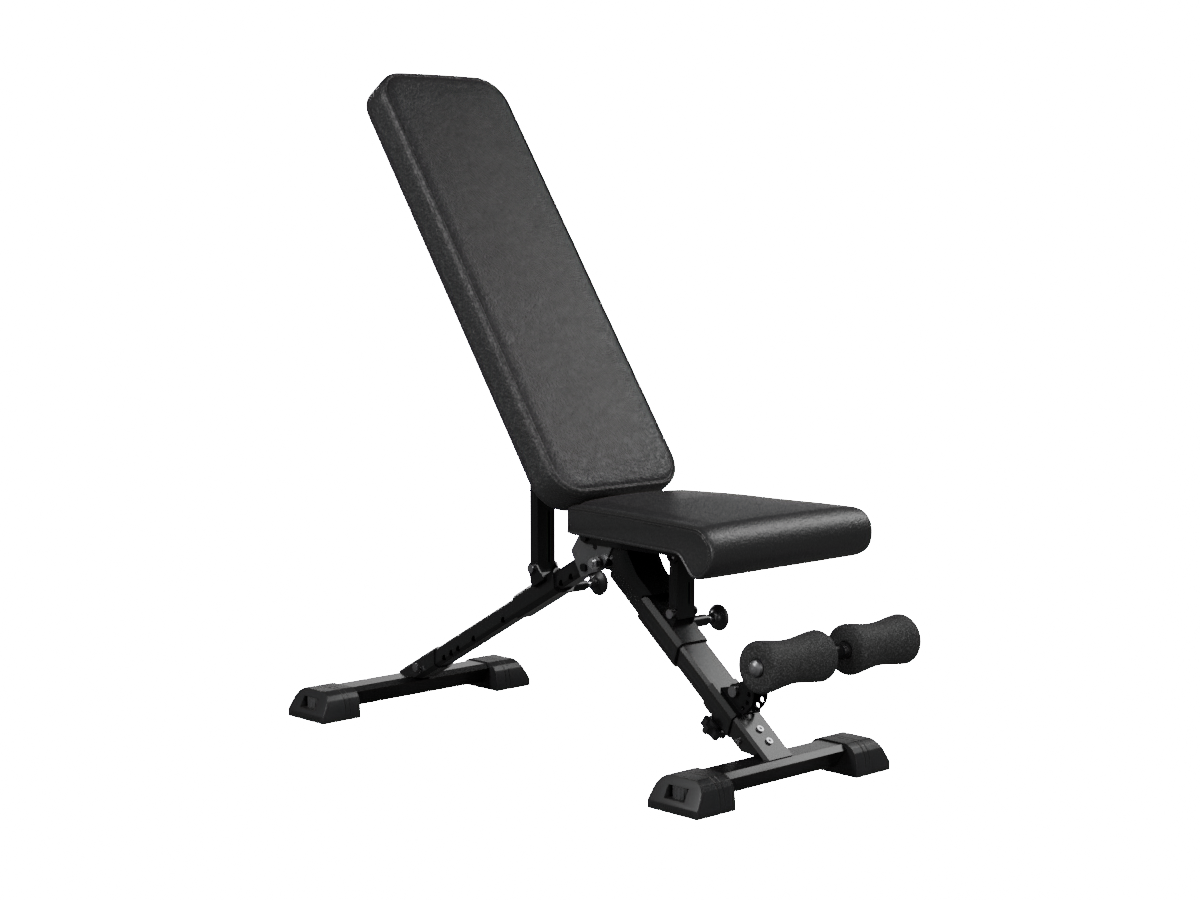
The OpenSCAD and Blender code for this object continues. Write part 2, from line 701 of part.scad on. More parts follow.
module clamp_knob() {
  color(black) front_leg() translate([0, 0, clamp_station]) rotate([-90, 0, 0]) {
    base = front_post_depth / 2 + slide_clearance + 3.5;
    translate([0, 0, front_post_depth / 2 + contact]) cylinder(d = 10, h = 12);
    difference() {
      union() {
        translate([0, 0, base]) cylinder(d = 26, h = 6);
        translate([0, 0, base + 6]) cylinder(d = 46, h = 15);
      }
      for (i = [0:5]) rotate([0, 0, 60 * i + 30]) translate([26, 0, base + 5])
        cylinder(d = 17, h = 17);
    }
  }
}
module roller_arm() {
  color(black) difference() {
    union() {
      plate(-arm_half, 2 * arm_half) union() {
        translate(roller_bolt) circle(r = 11);
        polygon([roller_bolt + 11 * [sin(arm_angle), cos(arm_angle)],
          roller_bolt - 11 * [sin(arm_angle), cos(arm_angle)],
          axle - 11 * [sin(arm_angle), cos(arm_angle)],
          axle + 11 * [sin(arm_angle), cos(arm_angle)]]);
      }
      cross_rod(axle, axle_d + 8, -arm_half - 2, arm_half + 2);
    }
    cross_rod(roller_bolt, bolt_d + bolt_clearance, -20, 20);
    cross_rod(axle, axle_d, -roller_gap, roller_gap);
    plate(-arm_half + 2, 2 * arm_half - 4) polygon([
      roller_bolt + 9 * [sin(arm_angle), cos(arm_angle)] + 26 * arm_way,
      roller_bolt - 9 * [sin(arm_angle), cos(arm_angle)] + 26 * arm_way,
      axle - 9 * [sin(arm_angle), cos(arm_angle)] - 20 * arm_way,
      axle + 9 * [sin(arm_angle), cos(arm_angle)] - 20 * arm_way]);
  }
}
arm_way = [-cos(arm_angle), sin(arm_angle)];
roller_end = roller_gap / 2 + roller_length;
module roller_axle() color(steel) cross_rod(axle, axle_d, -roller_end + 12, roller_end - 12);
// Plastic cores that the foam turns on, closed by a domed plug at the outer end
module roller_cores() {
  color(black) both_sides() translate([0, axle[0], axle[1]]) rotate([0, 90, 0])
    rotate_extrude() polygon([[axle_d / 2, roller_gap / 2 - 3], [core_d / 2, roller_gap / 2 - 3],
      [core_d / 2, roller_end - 4], [core_d / 2 - 1, roller_end], [core_d / 2 - 4, roller_end + 2.5],
      [core_d / 4, roller_end + 4], [0, roller_end + 4.5], [0, roller_end - 12],
      [axle_d / 2, roller_end - 12]]);
}
module roller_foam() {
  translate([roller_gap / 2, axle[0], axle[1]]) rotate([0, 90, 0]) rotate_extrude()
    polygon(concat([[core_d / 2 + contact, 0], [roller_d / 2 - 9, 0], [roller_d / 2 - 3, 2],
      [roller_d / 2, 7]], [for (i = [1:9]) let (u = i / 10)
      [roller_d / 2 - (roller_d - roller_waist_d) / 2 * sin(180 * u),
      7 + u * (roller_length - 18)]], [[roller_d / 2, roller_length - 11],
      [roller_d / 2 - 3, roller_length - 6], [roller_d / 2 - 9, roller_length - 4.4],
      [core_d / 2 + contact, roller_length - 4.4]]));
}
module roller_foam_left() color(black) roller_foam();
module roller_foam_right() color(black) mirror([1, 0, 0]) roller_foam();

// ---- Rear leg ----
module rear_foot_tube() {
  color(black) {
    translate([0, rear_foot_y, foot_axis_z]) foot_tube(rear_foot_length - 2 * cap_tube_inset);
    difference() {
      rear_leg() in_rear_sleeve(-40, rear_socket_end, 0.1, sleeve_wall);
      translate([-100, rear_foot_y - 200, foot_tube_top - 200]) cube([200, 400, 200]);
      rear_leg() translate([-100, 0, rear_socket_bolt_station]) rotate([0, 90, 0])
        cylinder(d = 8 + bolt_clearance, h = 200);
    }
  }
}
module rear_cap_right() color(black) at_foot_end(rear_foot_y, rear_foot_length, -1) end_cap();
module rear_cap_left() color(black) at_foot_end(rear_foot_y, rear_foot_length, 1) end_cap();
module rear_wheel_right() color(grey) at_foot_end(rear_foot_y, rear_foot_length, -1)
  level_wheel();
module rear_wheel_left() color(grey) at_foot_end(rear_foot_y, rear_foot_length, 1)
  level_wheel();
module rear_post() {
  color(black) difference() {
    rear_leg() difference() {
      ring_between(rear_outline(0), rear_outline(-tube_wall), -40, rear_post_top);
      pin_holes(rear_hole_stations, rear_post_width, rear_pin_depth);
      translate([-100, 0, rear_socket_bolt_station]) rotate([0, 90, 0])
        cylinder(d = 8 + bolt_clearance, h = 200);
    }
    translate([-100, rear_foot_y - 200, foot_tube_top - 200]) cube([200, 400, 200]);
  }
}
module rear_socket_bolt() color(steel) rear_leg() {
  at = [0, rear_socket_bolt_station];
  side = rear_post_width / 2 + sleeve_wall;
  cross_rod(at, 8, -side, side);
  cross_rod(at, 15, -side - 5, -side + 0.01);
  cross_rod(at, 15, side - 0.01, side + 5);
}
// Fork from the top of the rear post to the main bolt, in the rear leg's own frame
module rear_post_yoke() {
  eye = [-hub_drop, rear_length];
  low = rear_post_top - 14;
  // where the stop bolts stand in this frame, just above the arms
  away = stop_bolt - hub;
  stop_station = rear_length - away[0] * cos(rear_angle) + away[1] * sin(rear_angle);
  stop_depth = away[0] * sin(rear_angle) + away[1] * cos(rear_angle) - hub_drop;
  color(black) rear_leg() {
    difference() {
      union() {
        both_sides() plate(yoke_x, yoke_wall) union() {
          translate(eye) circle(r = 13);
          polygon([[-13, low], [4, low], [4, rear_post_top + 4],
            [stop_depth + 6, stop_station - 8], [stop_depth - 5.6, stop_station - 6.5],
            [stop_depth - 5.6, stop_station + 8], eye + [12, -4], eye + [-12, -4],
            [stop_depth - 18, stop_station + 6], [-20, rear_post_top - 4]]);
        }
        cross_rod(eye, main_bolt_d + 8, -yoke_x - weld, yoke_x + weld);
      }
      cross_rod(eye, main_bolt_d + bolt_clearance, -60, 60);
    }
    // web that closes the end of the post and joins the arms
    translate([-yoke_x - weld, -15, rear_post_top]) cube([2 * yoke_x + 2 * weld, 19, 4]);
  }
}
module rear_sleeve() {
  color(black) rear_leg() {
    difference() {
      in_rear_sleeve(rear_sleeve_low, rear_sleeve_high, liner_gap, sleeve_outer);
      translate([0, rear_pin_depth, rear_pin_station]) rotate([0, 90, 0])
        cylinder(d = housing_bore, h = rear_post_width);
    }
    clevis(strut_clevis_x, clevis_wall, rear_post_depth / 2 - 5, [strut_lift, strut_station],
      17, 12);
    // saddle that carries the clevis on the sleeve's ridge
    difference() {
      translate([-strut_clevis_x - clevis_wall, rear_post_depth / 2 - 8, strut_station - 17])
        cube([2 * strut_clevis_x + 2 * clevis_wall, 12.4, 34]);
      translate([0, 0, strut_station - 30]) linear_extrude(60)
        polygon(rear_outline(sleeve_outer - 1));
    }
  }
}
module rear_sleeve_liners() {
  color(black) rear_leg() for (from = [rear_sleeve_low, rear_sleeve_high - liner_length])
    in_rear_sleeve(from, from + liner_length, slide_clearance, liner_gap);
}
module rear_pin_housing() color(black) difference() {
  at_rear_pin() pin_housing(rear_housing, rear_housing_end);
  rear_leg() translate([0, 0, rear_sleeve_low]) linear_extrude(rear_sleeve_length)
    polygon(rear_outline(sleeve_outer));
}
module rear_pin_spring() color(steel) at_rear_pin() pin_spring(rear_housing_end);
module strut_bolt() color(steel) rear_leg() {
  at = [strut_lift, strut_station];
  grip = strut_clevis_x + clevis_wall;
  cross_rod(at, bolt_d, -grip - 2, grip + 2);
  cross_rod(at, 16, grip, grip + 6);
  cross_rod(at, 15, -grip - 6, -grip);
}
module rear_pin() color(steel) at_rear_pin() pin_shaft(rear_tip, rear_knob_start + 15 - rear_tip);
module rear_pin_knob() color(black) at_rear_pin() pin_knob(rear_knob_start);

// ---- Backrest ----
pad_low = 57;
pad_high = pad_low + back_length;
hinge_x = strut_width / 2 + 3.6;
back_rail_top = pad_low + 0.72 * back_length;
rail_start = 66;
module back_rail() {
  wall = 1.8;
  translate([hinge_x + clevis_wall, back_rear, rail_start]) difference() {
    cube([rail_width, rail_depth, back_rail_top - rail_start]);
    translate([wall, wall, -1])
      cube([rail_width - 2 * wall, rail_depth - 2 * wall, back_rail_top - rail_start + 2]);
  }
}
module back_rail_left() color(black) backrest() back_rail();
module back_rail_right() color(black) backrest() mirror([1, 0, 0]) back_rail();
module back_hinge_plates() {
  ear = [head_behind, head_along];
  color(black) backrest() difference() {
    both_sides() plate(hinge_x, clevis_wall) union() {
      circle(r = 12);
      polygon([[-7, -9.5], [12, 0], [back_rear + rail_depth + 26, 60],
        [back_rear + rail_depth + 4, 120], [back_rear + rail_depth, 150],
        [back_rear, 150], [back_rear, 62], [-12, 0]]);
      translate(ear) circle(r = 13);
      polygon([[back_rear, head_along - 45], ear + [0, -13], ear + [13, 0],
        ear + [6, 12], [back_rear, head_along + 45]]);
    }
    plate(-60, 120) translate([0, 0]) circle(d = bolt_d + bolt_clearance);
    cross_rod(ear, bolt_d + 4, -60, 60);
  }
}
module back_cross_plates() {
  color(black) backrest() for (along = [160, 330, 560]) {
    half = along < 300 ? hinge_x : hinge_x + clevis_wall;
    translate([-half, back_rear, along]) cube([2 * half, 3, 60]);
  }
}
// Outline with four round corners, drawn as one polygon
module rounded_plate(width, from, to, r) {
  far = width / 2 - r;
  polygon(concat(arc([far, from + r], r, -90, 0), arc([far, to - r], r, 0, 90),
    arc([-far, to - r], r, 90, 180), arc([-far, from + r], r, 180, 270)));
}
// Puts an outline, drawn in x and along the pad, between two depths of the backrest
module pad_layer(from, to) {
  backrest() translate([0, to, 0]) rotate([90, 0, 0]) linear_extrude(to - from) children();
}
module back_board() color(black) pad_layer(back_rear - back_board_wall, back_rear)
  rounded_plate(back_width - 20, pad_low + 10, pad_high - 10, back_corner_r - 10);
module back_cushion() color(black) {
  pad_layer(back_face, back_face + 3)
    rounded_plate(back_width - 6, pad_low + 3, pad_high - 3, back_corner_r - 3);
  pad_layer(back_face + 3, back_rear - back_board_wall)
    rounded_plate(back_width, pad_low, pad_high, back_corner_r);
}
module pad_screws() color(steel) {
  backrest() for (x = [-1, 1] * (hinge_x + clevis_wall + rail_width / 2), along = [180, 600])
    translate([x, back_rear + rail_depth, along]) rotate([-90, 0, 0]) cylinder(d = 11, h = 3);
}

front_foot_tube();
front_cap_right();
front_cap_left();
front_wheel_right();
front_wheel_left();
front_post();
front_post_screws();
front_post_gusset();
hub_plate_right();
hub_plate_left();
main_pivot_bolt();
main_pivot_spacers();
backrest_pivot_rod();
hub_stub_bolts();
seat_sleeve();
seat_sleeve_liners();
seat_pin_housing();
seat_pin_spring();
seat_prop_bolt();
seat_pin();
seat_pin_knob();
seat_prop();
seat_prop_top_pin();
seat_rail_right();
seat_rail_left();
seat_cross_plates();
seat_board();
seat_cushion();
roller_collar();
roller_arm_bolt();
clamp_knob();
roller_arm();
roller_axle();
roller_cores();
roller_foam_right();
roller_foam_left();
rear_foot_tube();
rear_cap_right();
rear_cap_left();
rear_wheel_right();
rear_wheel_left();
rear_post();
rear_post_yoke();
rear_socket_bolt();
rear_sleeve();
rear_sleeve_liners();
rear_pin_housing();
rear_pin_spring();
strut_bolt();
rear_pin();
rear_pin_knob();
backrest_strut();
strut_top_pin();
back_rail_right();
back_rail_left();
back_hinge_plates();
back_cross_plates();
back_board();
back_cushion();
pad_screws();
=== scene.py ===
import bpy
import bmesh
import json
import math
from mathutils import Matrix, Vector, noise


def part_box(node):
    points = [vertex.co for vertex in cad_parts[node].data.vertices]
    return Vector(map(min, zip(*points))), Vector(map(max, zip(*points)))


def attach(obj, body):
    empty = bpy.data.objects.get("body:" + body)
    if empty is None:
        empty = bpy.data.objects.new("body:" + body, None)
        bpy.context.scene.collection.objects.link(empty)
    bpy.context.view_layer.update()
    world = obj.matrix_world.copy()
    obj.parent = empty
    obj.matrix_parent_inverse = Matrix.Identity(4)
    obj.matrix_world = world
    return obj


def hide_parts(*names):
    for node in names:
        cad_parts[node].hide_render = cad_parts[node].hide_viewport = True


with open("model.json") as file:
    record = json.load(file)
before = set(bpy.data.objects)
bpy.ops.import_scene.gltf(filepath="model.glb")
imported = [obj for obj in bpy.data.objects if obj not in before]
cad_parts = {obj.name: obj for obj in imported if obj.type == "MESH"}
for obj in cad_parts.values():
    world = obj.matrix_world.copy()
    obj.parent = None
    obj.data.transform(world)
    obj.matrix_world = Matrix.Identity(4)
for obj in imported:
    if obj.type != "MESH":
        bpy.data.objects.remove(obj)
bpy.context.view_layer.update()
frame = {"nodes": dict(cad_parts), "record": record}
record = frame["record"]
jointAt = {j["name"]: Vector(j["pos_m"]) for j in record["behaviour"]["joints"] if "pos_m" in j}
mm = 0.001
print("stage: frame loaded")


# ---- small helpers ----
def newObject(name, mesh, body, material=None, smooth=True):
    obj = bpy.data.objects.new(name, mesh)
    bpy.context.scene.collection.objects.link(obj)
    if material:
        mesh.materials.clear()
        mesh.materials.append(material)
    mesh.polygons.foreach_set("use_smooth", [smooth] * len(mesh.polygons))
    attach(obj, body)
    return obj


def meshFrom(bm, name):
    bmesh.ops.recalc_face_normals(bm, faces=bm.faces)
    mesh = bpy.data.meshes.new(name)
    bm.to_mesh(mesh)
    bm.free()
    return mesh


def loft(bm, rings, closeStart=True, closeEnd=True):
    rows = [[bm.verts.new(p) for p in ring] for ring in rings]
    for a, b in zip(rows, rows[1:]):
        for i in range(len(a)):
            j = (i + 1) % len(a)
            bm.faces.new((a[i], a[j], b[j], b[i]))
    if closeStart:
        bm.faces.new(rows[0])
    if closeEnd:
        bm.faces.new(list(reversed(rows[-1])))
    return rows


def lathe(bm, points, centre, axis, segments=64):
    # points are (distance along the axis, radius); a radius of 0 closes the end
    turn = Vector((0, 0, 1)).rotation_difference(Vector(axis)).to_matrix()
    rows = []
    for along, r in points:
        if r == 0:
            rows.append([bm.verts.new(centre + turn @ Vector((0, 0, along)))])
            continue
        rows.append([bm.verts.new(centre + turn @ Vector((r * math.cos(t), r * math.sin(t), along)))
                     for t in (2 * math.pi * i / segments for i in range(segments))])
    for a, b in zip(rows, rows[1:]):
        for i in range(segments):
            j = (i + 1) % segments
            if len(a) == 1:
                bm.faces.new((a[0], b[j], b[i]))
            elif len(b) == 1:
                bm.faces.new((a[i], a[j], b[0]))
            else:
                bm.faces.new((a[i], a[j], b[j], b[i]))


def bakeModifiers(obj):
    graph = bpy.context.evaluated_depsgraph_get()
    mesh = bpy.data.meshes.new_from_object(obj.evaluated_get(graph))
    obj.modifiers.clear()
    obj.data = mesh
    return obj


def smoothByAngle(mesh, degrees=32):
    mesh.polygons.foreach_set("use_smooth", [True] * len(mesh.polygons))
    mesh.set_sharp_from_angle(angle=math.radians(degrees))


# ---- materials, all on Object coordinates ----
def startMaterial(name, colour, roughness, coat=0.0, metallic=0.0, specular=0.5):
    mat = bpy.data.materials.new(name)
    mat.use_nodes = True
    shader = mat.node_tree.nodes["Principled BSDF"]
    shader.inputs["Base Color"].default_value = (*colour, 1)
    shader.inputs["Roughness"].default_value = roughness
    shader.inputs["Metallic"].default_value = metallic
    shader.inputs["Coat Weight"].default_value = coat
    shader.inputs["Coat Roughness"].default_value = 0.12
    shader.inputs["Specular IOR Level"].default_value = specular
    return mat, shader


def objectCoords(mat):
    return mat.node_tree.nodes.new("ShaderNodeTexCoord").outputs["Object"]


def addBump(mat, shader, height, strength, distance):
    bump = mat.node_tree.nodes.new("ShaderNodeBump")
    bump.inputs["Strength"].default_value = strength
    bump.inputs["Distance"].default_value = distance
    mat.node_tree.links.new(height, bump.inputs["Height"])
    mat.node_tree.links.new(bump.outputs["Normal"], shader.inputs["Normal"])
    return bump


def noiseNode(mat, scale, detail=3.0):
    tex = mat.node_tree.nodes.new("ShaderNodeTexNoise")
    tex.inputs["Scale"].default_value = scale
    tex.inputs["Detail"].default_value = detail
    mat.node_tree.links.new(objectCoords(mat), tex.inputs["Vector"])
    return tex.outputs["Fac"]


def paintMaterial(name, colour, roughness, coat, peel=0.03, specular=0.5):
    mat, shader = startMaterial(name, colour, roughness, coat, specular=specular)
    addBump(mat, shader, noiseNode(mat, 420, 2), peel, 0.0004)
    return mat


def grainMaterial(name, colour, roughness, cell, strength):
    # pebbled leather: rounded cells, bent a little so that they don't line up
    mat, shader = startMaterial(name, colour, roughness, specular=0.55)
    tree = mat.node_tree
    bend = tree.nodes.new("ShaderNodeMixRGB")
    bend.blend_type = "LINEAR_LIGHT"
    bend.inputs["Fac"].default_value = 0.0035
    soft = tree.nodes.new("ShaderNodeTexNoise")
    soft.inputs["Scale"].default_value = 120
    cells = tree.nodes.new("ShaderNodeTexVoronoi")
    cells.feature = "SMOOTH_F1"
    cells.inputs["Scale"].default_value = 1 / cell
    cells.inputs["Smoothness"].default_value = 0.35
    where = objectCoords(mat)
    tree.links.new(where, soft.inputs["Vector"])
    tree.links.new(where, bend.inputs["Color1"])
    tree.links.new(soft.outputs["Color"], bend.inputs["Color2"])
    tree.links.new(bend.outputs["Color"], cells.inputs["Vector"])
    flip = tree.nodes.new("ShaderNodeMath")
    flip.operation = "SUBTRACT"
    flip.inputs[0].default_value = 1.0
    tree.links.new(cells.outputs["Distance"], flip.inputs[1])
    addBump(mat, shader, flip.outputs[0], strength, 0.0011)
    return mat


def colourBetween(mat, shader, factor, low, high, dark, light):
    # a ramp from one colour to another between two values of the factor
    ramp = mat.node_tree.nodes.new("ShaderNodeValToRGB")
    ramp.color_ramp.elements[0].position = low
    ramp.color_ramp.elements[0].color = (*dark, 1)
    ramp.color_ramp.elements[1].position = high
    ramp.color_ramp.elements[1].color = (*light, 1)
    mat.node_tree.links.new(factor, ramp.inputs["Fac"])
    mat.node_tree.links.new(ramp.outputs["Color"], shader.inputs["Base Color"])


def foamMaterial(name, dark, light):
    # skin of closed-cell foam: small pale specks on a dull black ground
    mat, shader = startMaterial(name, dark, 0.7, specular=0.45)
    speck = noiseNode(mat, 430, 2)
    colourBetween(mat, shader, speck, 0.46, 0.7, dark, light)
    addBump(mat, shader, speck, 0.8, 0.0012)
    return mat


def plugMaterial(name, edge):
    # black core whose domed outer plug, beyond the edge, is plated
    mat, shader = startMaterial(name, (0.012, 0.012, 0.0125), 0.4)
    tree = mat.node_tree
    split = tree.nodes.new("ShaderNodeSeparateXYZ")
    tree.links.new(objectCoords(mat), split.inputs["Vector"])
    size = tree.nodes.new("ShaderNodeMath")
    size.operation = "ABSOLUTE"
    tree.links.new(split.outputs["X"], size.inputs[0])
    beyond = tree.nodes.new("ShaderNodeMath")
    beyond.operation = "GREATER_THAN"
    beyond.inputs[1].default_value = edge
    tree.links.new(size.outputs[0], beyond.inputs[0])
    tree.links.new(beyond.outputs[0], shader.inputs["Metallic"])
    colourBetween(mat, shader, beyond.outputs[0], 0.2, 0.8, (0.012, 0.012, 0.0125), (0.3, 0.3, 0.31))
    return mat


def metalMaterial(name, colour, roughness):
    mat, shader = startMaterial(name, colour, roughness, metallic=1.0)
    addBump(mat, shader, noiseNode(mat, 600, 2), 0.05, 0.0003)
    return mat


paintBlack = paintMaterial("paintBlack", (0.008, 0.008, 0.0085), 0.3, 0.15, specular=0.25)
paintHub = paintMaterial("paintHub", (0.07, 0.07, 0.073), 0.38, 0.15)
steelBright = metalMaterial("steelBright", (0.62, 0.62, 0.63), 0.28)
steelDark = metalMaterial("steelDark", (0.36, 0.36, 0.37), 0.3)
steelBlack = metalMaterial("steelBlack", (0.05, 0.05, 0.052), 0.35)
plasticBlack = paintMaterial("plasticBlack", (0.016, 0.016, 0.017), 0.42, 0.0, 0.08)
plasticGrey = paintMaterial("plasticGrey", (0.05, 0.05, 0.052), 0.5, 0.0, 0.05)
leatherBack = grainMaterial("leatherBack", (0.018, 0.018, 0.019), 0.42, 0.003, 0.95)
leatherSeat = grainMaterial("leatherSeat", (0.016, 0.016, 0.017), 0.4, 0.003, 0.4)
foamBlack = foamMaterial("foamBlack", (0.011, 0.011, 0.0115), (0.06, 0.06, 0.061))
boardBlack = paintMaterial("boardBlack", (0.02, 0.02, 0.02), 0.75, 0.0, 0.15)
threadBlack = paintMaterial("threadBlack", (0.035, 0.035, 0.037), 0.6, 0.0)
plugCore = plugMaterial("plugCore", 0.167)

slotLooks = {
    "frame_coat": paintBlack, "hub_coat": paintHub, "bright_steel": steelBright,
    "dark_fastener": steelBlack, "steel_fastener": steelDark,
    "black_plastic": plasticBlack, "grey_plastic": plasticGrey,
    "upholstery": leatherSeat, "roller_foam": foamBlack, "board": boardBlack,
}
slotOf = {p["node"]: p["material_slot"] for p in record["subparts"]}
for name, obj in frame["nodes"].items():
    look = slotLooks[slotOf[name]]
    if obj.material_slots:
        for s in obj.material_slots:
            s.material = look
    else:
        obj.data.materials.append(look)
for s in frame["nodes"]["roller_cores"].material_slots:
    s.material = plugCore
print("stage: materials")


# ---- backrest pad ----
backPad = {
    "angle": 55.6,        # degrees above horizontal
    "low": 57 * mm, "high": 901 * mm, "half": 143 * mm, "corner": 56 * mm,
    "face": 88 * mm, "back": 25 * mm,
    "crown": 2.5 * mm, "pucker": 0.5 * mm, "arch": 3 * mm,
}


def outline(half, low, high, r, longSteps=56, shortSteps=18, cornerSteps=12):
    pts = []
    corners = [(half - r, low + r, -90), (half - r, high - r, 0), (-half + r, high - r, 90),
               (-half + r, low + r, 180)]
    sides = [longSteps, shortSteps, longSteps, shortSteps]
    for k, (cx, cy, a0) in enumerate(corners):
        arc = [Vector((cx + r * math.cos(math.radians(a0 + 90 * i / cornerSteps)),
                       cy + r * math.sin(math.radians(a0 + 90 * i / cornerSteps))))
               for i in range(cornerSteps + 1)]
        pts += arc
        nx, ny, na = corners[(k + 1) % 4]
        goal = Vector((nx + r * math.cos(math.radians(na)), ny + r * math.sin(math.radians(na))))
        pts += [arc[-1].lerp(goal, i / sides[k]) for i in range(1, sides[k])]
    return pts


def padPlace(pad, pivot):
    lean = math.radians(pad["angle"] - 90)
    turn = Matrix.Rotation(lean, 3, "X")
    return lambda x, depth, along: pivot + turn @ Vector((x, depth, along))


def padRings(pad, layers):
    rings = []
    for inset, depth in layers:
        r = max(pad["corner"] - inset, 3 * mm)
        pts = outline(pad["half"] - inset, pad["low"] + inset, pad["high"] - inset, r)
        rings.append([(p.x, depth, p.y) for p in pts])
    return rings


def fillFace(bm, rim, pad, outward):
    # grid between the four sides of the last ring, each side running between two corners
    n, long, short = len(rim), 68, 30
    corner = [6, 74, 104, 172]
    at = [v.co.copy() for v in rim]
    grid = []
    for j in range(long + 1):
        t = j / long
        row = []
        for i in range(short + 1):
            s = i / short
            if j == 0:
                v = rim[(corner[3] + i) % n]
            elif j == long:
                v = rim[corner[2] - i]
            elif i == 0:
                v = rim[corner[3] - j]
            elif i == short:
                v = rim[corner[0] + j]
            else:
                low, high = at[(corner[3] + i) % n], at[corner[2] - i]
                left, right = at[corner[3] - j], at[corner[0] + j]
                a, b, c, d = at[corner[3]], at[corner[0]], at[corner[2]], at[corner[1]]
                p = low * (1 - t) + high * t + left * (1 - s) + right * s
                p -= a * (1 - s) * (1 - t) + b * s * (1 - t) + c * (1 - s) * t + d * s * t
                u, w = min(s, 1 - s) * 2, min(1, min(t, 1 - t) * 7)
                swell = u * u * (3 - 2 * u) * w * w * (3 - 2 * w)
                p += outward * (pad["crown"] + noise.noise(p * 8) * 0.8 * mm) * swell
                v = bm.verts.new(p)
            row.append(v)
        grid.append(row)
    for a, b in zip(grid, grid[1:]):
        for i in range(short):
            bm.faces.new((a[i], a[i + 1], b[i + 1], b[i]))


def buildBackPad(pad):
    place = padPlace(pad, jointAt["recline"])
    face, back = -pad["face"], -pad["back"]
    # (inset from the outline, depth): board side first, then the wall, the seam and the face
    layers = [(9.4, 0.1), (5, 0.1), (1.6, -0.6), (0.3, -2.6), (0, -6), (0, -16), (0, -28), (0, -40),
              (0.3, -48), (0.9, -52.5), (1.7, -54.2), (2.3, -54.4), (2.7, -55.6), (3.4, -57.6),
              (4.8, -59.2), (6.6, -59.8), (8.2, -59.2), (9.2, -58.0), (10.0, -57.4), (11.2, -57.9),
              (13.5, -60.0), (17, -61.6), (22, -62.5), (29, -63.1)]
    layers = [(i * mm, back + d * mm) for i, d in layers]
    rings = []
    for ring in padRings(pad, layers):
        out = []
        for x, depth, along in ring:
            # shallow puckers beside the seam
            near = math.exp(-((depth - face - 5 * mm) / (9 * mm)) ** 2)
            ripple = noise.noise(Vector((x * 34, along * 34, 3.1))) * pad["pucker"] * near
            # the top edge is a shallow arch
            along += pad["arch"] * (1 - (x / pad["half"]) ** 2) * max(0, (along - 0.6) / 0.3)
            out.append(place(x, depth + ripple, along))
        rings.append(out)
    bm = bmesh.new()
    rows = loft(bm, rings, closeEnd=False)
    bmesh.ops.triangulate(bm, faces=[f for f in bm.faces if len(f.verts) > 4])
    fillFace(bm, rows[-1], pad, place(0, -1, 0) - place(0, 0, 0))
    mesh = meshFrom(bm, "backPad")
    obj = newObject("backPad", mesh, "backrest", leatherBack)
    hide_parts("back_cushion")
    return obj


buildBackPad(backPad)
print("stage: backrest pad")

# ---- seat pad ----
seatPad = {
    "rear": -77 * mm, "front": -436 * mm, "halfRear": 145 * mm, "halfFront": 188 * mm,
    "top": 426 * mm, "bottom": 378.4 * mm, "nose": 40 * mm, "crown": 2.0 * mm,
    "noseCorner": 20 * mm, "dome": 8 * mm,
}


def seatProfile(pad):
    # side view as (y, z), from the lower rear corner over the top and round the nose
    rear, top, bottom, r = pad["rear"], pad["top"], pad["bottom"], pad["nose"]
    noseY, noseZ = pad["front"] + r, top - r
    pts = [(rear + 0.4 * mm, bottom + 2 * mm)]
    pts += [(rear, bottom + (top - bottom - 11 * mm) * k / 5 + 4 * mm * (1 - k / 5)) for k in range(1, 6)]
    for k in range(1, 8):
        a = math.radians(90 * k / 7)
        pts.append((rear - 11 * mm + 11 * mm * math.cos(a), top - 11 * mm + 11 * mm * math.sin(a)))
    steps = 46
    for k in range(1, steps):
        u = k / steps
        y = (rear - 11 * mm) * (1 - u) + noseY * u
        pts.append((y, top + pad["crown"] * math.sin(math.pi * u) ** 0.8))
    for k in range(0, 33):
        a = math.radians(90 + 176 * k / 32)
        pts.append((noseY + r * math.cos(a), noseZ + r * math.sin(a)))
    low = noseZ - r
    for k in range(1, 12):
        u = k / 12
        ease = (1 - math.cos(math.pi * u)) / 2
        pts.append((noseY + 46 * mm * u, low + (bottom - low) * ease))
    steps = 34
    for k in range(0, steps):
        u = k / steps
        pts.append((noseY + 46 * mm + (rear - 3 * mm - noseY - 46 * mm) * u, bottom))
    return [Vector(p) for p in pts]


def insetLoop(points, distance):
    out = []
    n = len(points)
    for i in range(n):
        a, b = points[(i - 1) % n], points[(i + 1) % n]
        along = (b - a).normalized()
        # the loop runs clockwise seen from +x, so its inside is on this hand
        out.append(points[i] + Vector((along.y, -along.x)) * distance)
    return out


def seatHalf(pad, y):
    u = (pad["rear"] - y) / (pad["rear"] - pad["front"])
    return pad["halfRear"] + (pad["halfFront"] - pad["halfRear"]) * u


